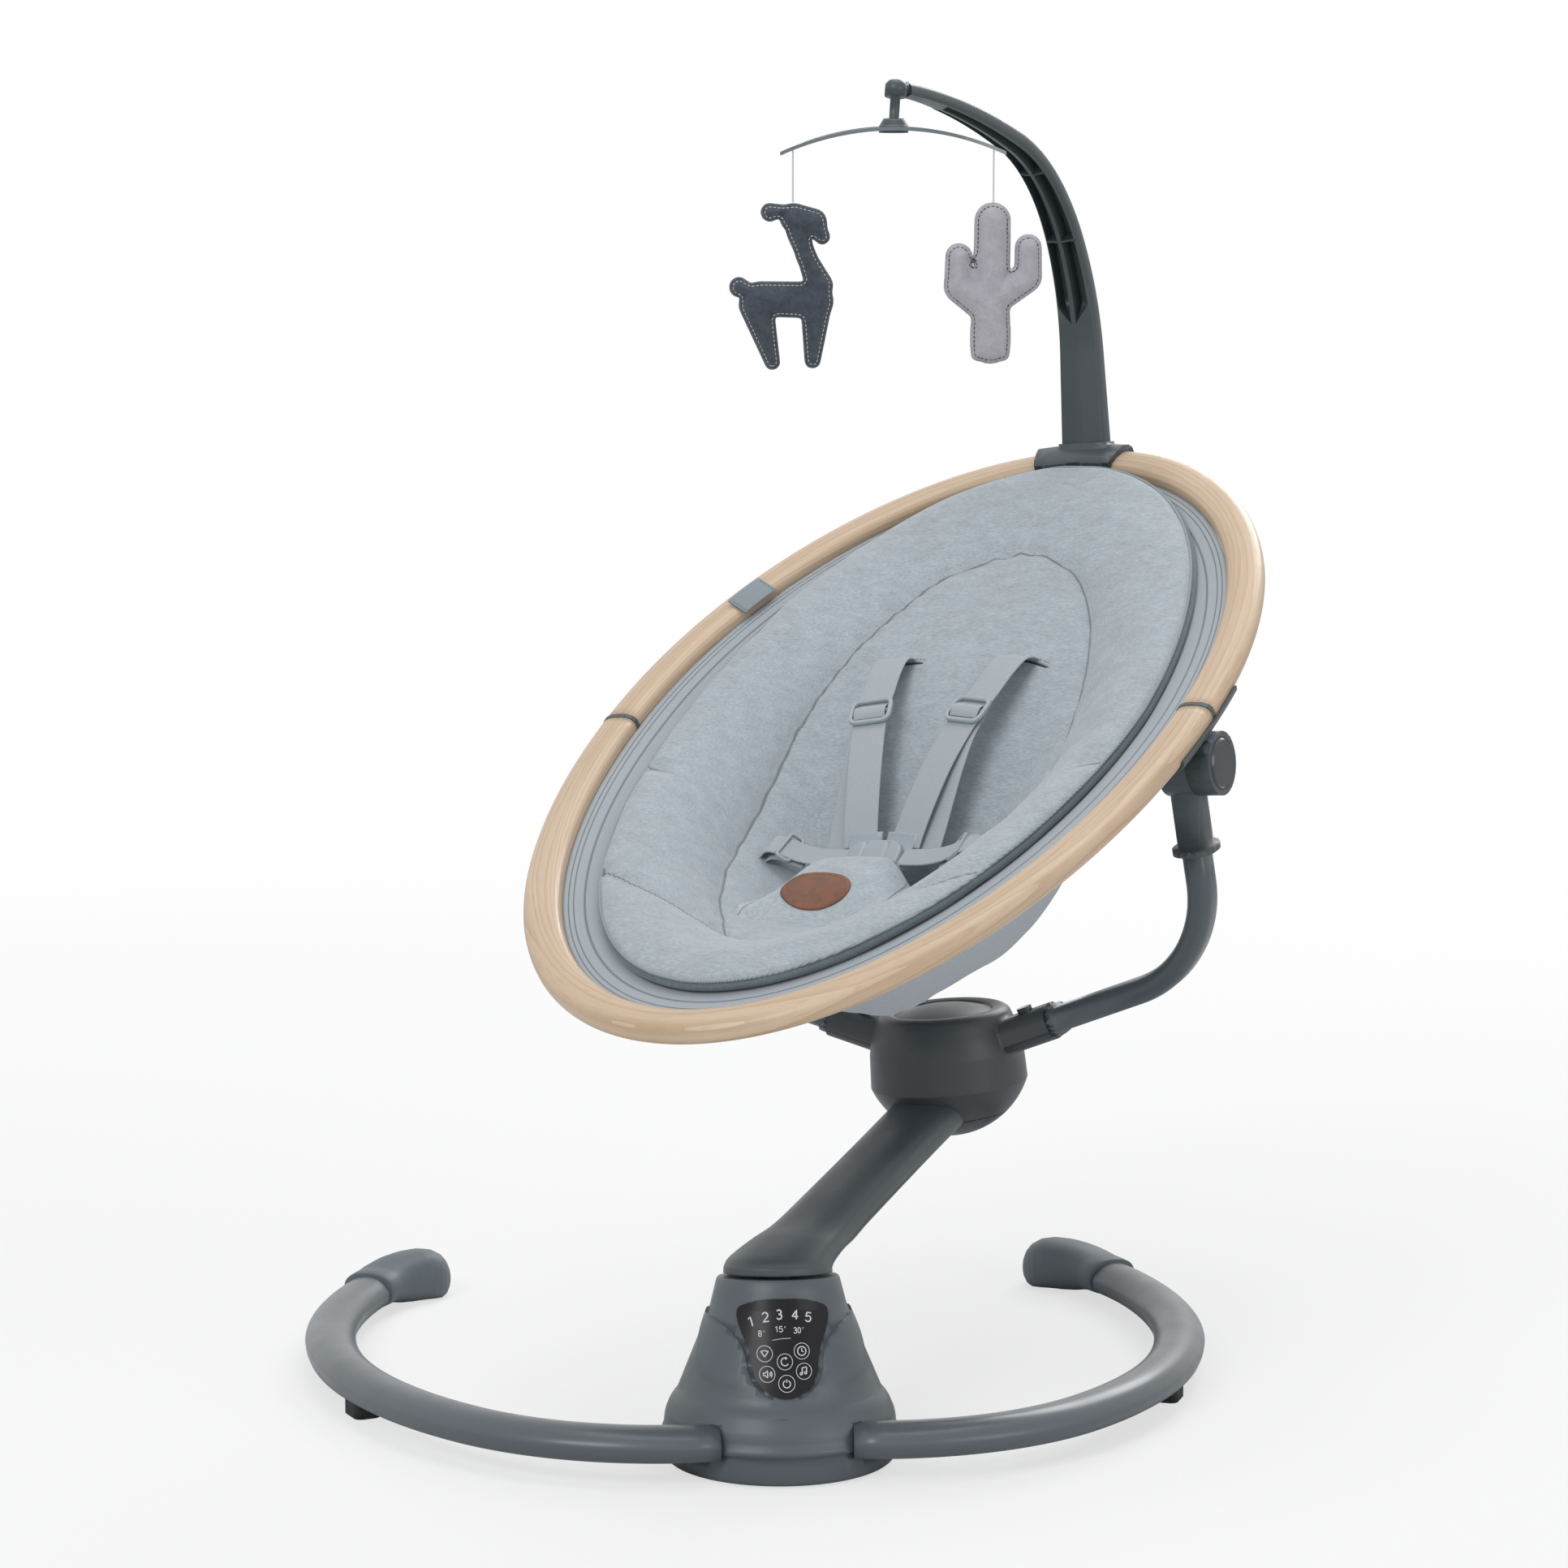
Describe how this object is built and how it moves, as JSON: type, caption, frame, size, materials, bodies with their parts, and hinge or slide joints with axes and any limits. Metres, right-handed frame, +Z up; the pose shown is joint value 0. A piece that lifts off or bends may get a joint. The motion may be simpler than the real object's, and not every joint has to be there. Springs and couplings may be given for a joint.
{
  "type": "baby swing",
  "caption": "Powered baby swing: a round motor base with curved legs turns a leaning arm that carries a reclining oval wooden-ring seat with harness and a hanging toy mobile.",
  "frame": {"origin": "on the floor, under the point where the swing axis meets the floor, at the centre of the base", "axes": "+Z up, -Y towards the front with the control panel, +X to the right as seen from the front"},
  "size_m": [0.6637, 0.6101, 0.8774],
  "materials": {
    "housing_plastic": "satin moulded plastic, mid grey",
    "panel": "glossy black plastic with printed symbols",
    "board": "circuit board, green",
    "leg_plastic": "smooth slate grey plastic",
    "cap_plastic": "soft grey plastic",
    "pad_rubber": "matt rubber",
    "bearing": "natural acetal",
    "motor_can": "zinc plated steel",
    "gear_plastic": "moulded acetal gear",
    "steel": "bright steel",
    "arm_plastic": "satin dark slate plastic",
    "hub_plastic": "fine textured dark grey plastic",
    "arch_plastic": "fine textured dark grey plastic",
    "button_plastic": "glossy black plastic",
    "wood": "pale wood grain, satin",
    "sling_fabric": "grey twill",
    "cushion_fabric": "soft blue-grey knit",
    "webbing": "woven webbing, light grey",
    "buckle_plastic": "light grey plastic",
    "leather": "brown leather",
    "tag": "smooth grey tag",
    "mobile_plastic": "glossy grey plastic",
    "string": "thin white string",
    "felt_dark": "dark blue-grey felt",
    "felt_light": "light grey felt"
  },
  "bodies": {
    "base": {"base_tray": "housing_plastic", "base_housing": "housing_plastic", "control_panel": "panel", "control_board": "board", "leg_left": "leg_plastic", "leg_right": "leg_plastic", "leg_cap_left": "cap_plastic", "leg_cap_right": "cap_plastic", "mid_feet": "pad_rubber", "base_pads": "pad_rubber", "dc_inlet": "button_plastic", "lower_bearing": "bearing", "upper_bearing": "bearing", "drive_motor": "motor_can", "base_screws": "steel"},
    "pinion": {"motor_pinion": "gear_plastic"},
    "swing_arm": {"drive_shaft": "steel", "swing_gear": "gear_plastic", "arm_shell": "arm_plastic", "arm_rear_cover": "arm_plastic", "hub_bowl": "hub_plastic", "hub_band": "hub_plastic", "hub_cap": "hub_plastic", "hub_dome": "hub_plastic", "seat_tube_left": "leg_plastic", "seat_tube_right": "leg_plastic", "pivot_housing_left": "arm_plastic", "pivot_housing_right": "arm_plastic"},
    "snap_left": {"snap_button_left": "button_plastic"},
    "snap_right": {"snap_button_right": "button_plastic"},
    "recline_left": {"recline_button_left": "hub_plastic"},
    "recline_right": {"recline_button_right": "hub_plastic"},
    "seat": {"ring_upper": "wood", "ring_lower": "wood", "ring_bands": "arm_plastic", "seat_bracket_left": "arm_plastic", "seat_bracket_right": "arm_plastic", "seat_sling": "sling_fabric", "seat_insert": "cushion_fabric", "shoulder_strap_left": "webbing", "shoulder_strap_right": "webbing", "waist_straps": "webbing", "strap_sliders": "buckle_plastic", "harness_buckle": "buckle_plastic", "crotch_pad": "cushion_fabric", "leather_patch": "leather", "label_tag": "tag", "toybar_socket": "arch_plastic"},
    "toy_bar": {"toybar_arch": "arch_plastic", "toybar_pin": "arch_plastic"},
    "mobile": {"mobile_hub": "arch_plastic", "mobile_bar": "mobile_plastic"},
    "llama": {"string_left": "string", "llama_toy": "felt_dark"},
    "cactus": {"string_right": "string", "cactus_toy": "felt_light"}
  },
  "joints": [
    {"name": "arm_swing", "type": "hinge", "parent": "base", "child": "swing_arm", "pos_m": [0, 0, 0], "axis": [0, 0.1564, 0.9877], "range_deg": [-6, 74]},
    {"name": "pinion_spin", "type": "hinge", "parent": "base", "child": "pinion", "pos_m": [0, 0.05196, 0.04037], "axis": [0, 0.1564, 0.9877], "range_deg": [-300, 30]},
    {"name": "seat_recline", "type": "hinge", "parent": "swing_arm", "child": "seat", "pos_m": [0.10016, 0.21629, 0.41633], "axis": [0.829, -0.5523, 0.0875], "range_deg": [-14, 0]},
    {"name": "recline_press_right", "type": "slide", "parent": "seat", "child": "recline_right", "axis": [-0.829, 0.5523, -0.0875], "range_m": [0, 0.003], "stiffness_N_per_m": 600, "springref_m": -0.001},
    {"name": "recline_press_left", "type": "slide", "parent": "seat", "child": "recline_left", "axis": [0.829, -0.5523, 0.0875], "range_m": [0, 0.003], "stiffness_N_per_m": 600, "springref_m": -0.001},
    {"name": "snap_press_right", "type": "slide", "parent": "swing_arm", "child": "snap_right", "axis": [0.4108, -0.0866, -0.9076], "range_m": [0, 0.003], "stiffness_N_per_m": 600, "springref_m": -0.001},
    {"name": "snap_press_left", "type": "slide", "parent": "swing_arm", "child": "snap_left", "axis": [-0.1016, 0.2547, -0.9617], "range_m": [0, 0.003], "stiffness_N_per_m": 600, "springref_m": -0.001},
    {"name": "toybar_lift", "type": "slide", "parent": "seat", "child": "toy_bar", "axis": [-0.0487, 0.0845, 0.9952], "range_m": [0, 0.06]},
    {"name": "mobile_spin", "type": "hinge", "parent": "toy_bar", "child": "mobile", "pos_m": [0.09762, 0.28071, 0.84715], "axis": [0, 0, 1], "continuous": true},
    {"name": "llama_swing", "type": "hinge", "parent": "mobile", "child": "llama", "pos_m": [0.02922, 0.28071, 0.82972], "axis": [1, 0, 0], "range_deg": [-35, 35]},
    {"name": "cactus_swing", "type": "hinge", "parent": "mobile", "child": "cactus", "pos_m": [0.16602, 0.28071, 0.82972], "axis": [1, 0, 0], "range_deg": [-35, 35]}
  ],
  "couplings": [
    {"joint": "pinion_spin", "follows": "arm_swing", "ratio": -4}
  ]
}
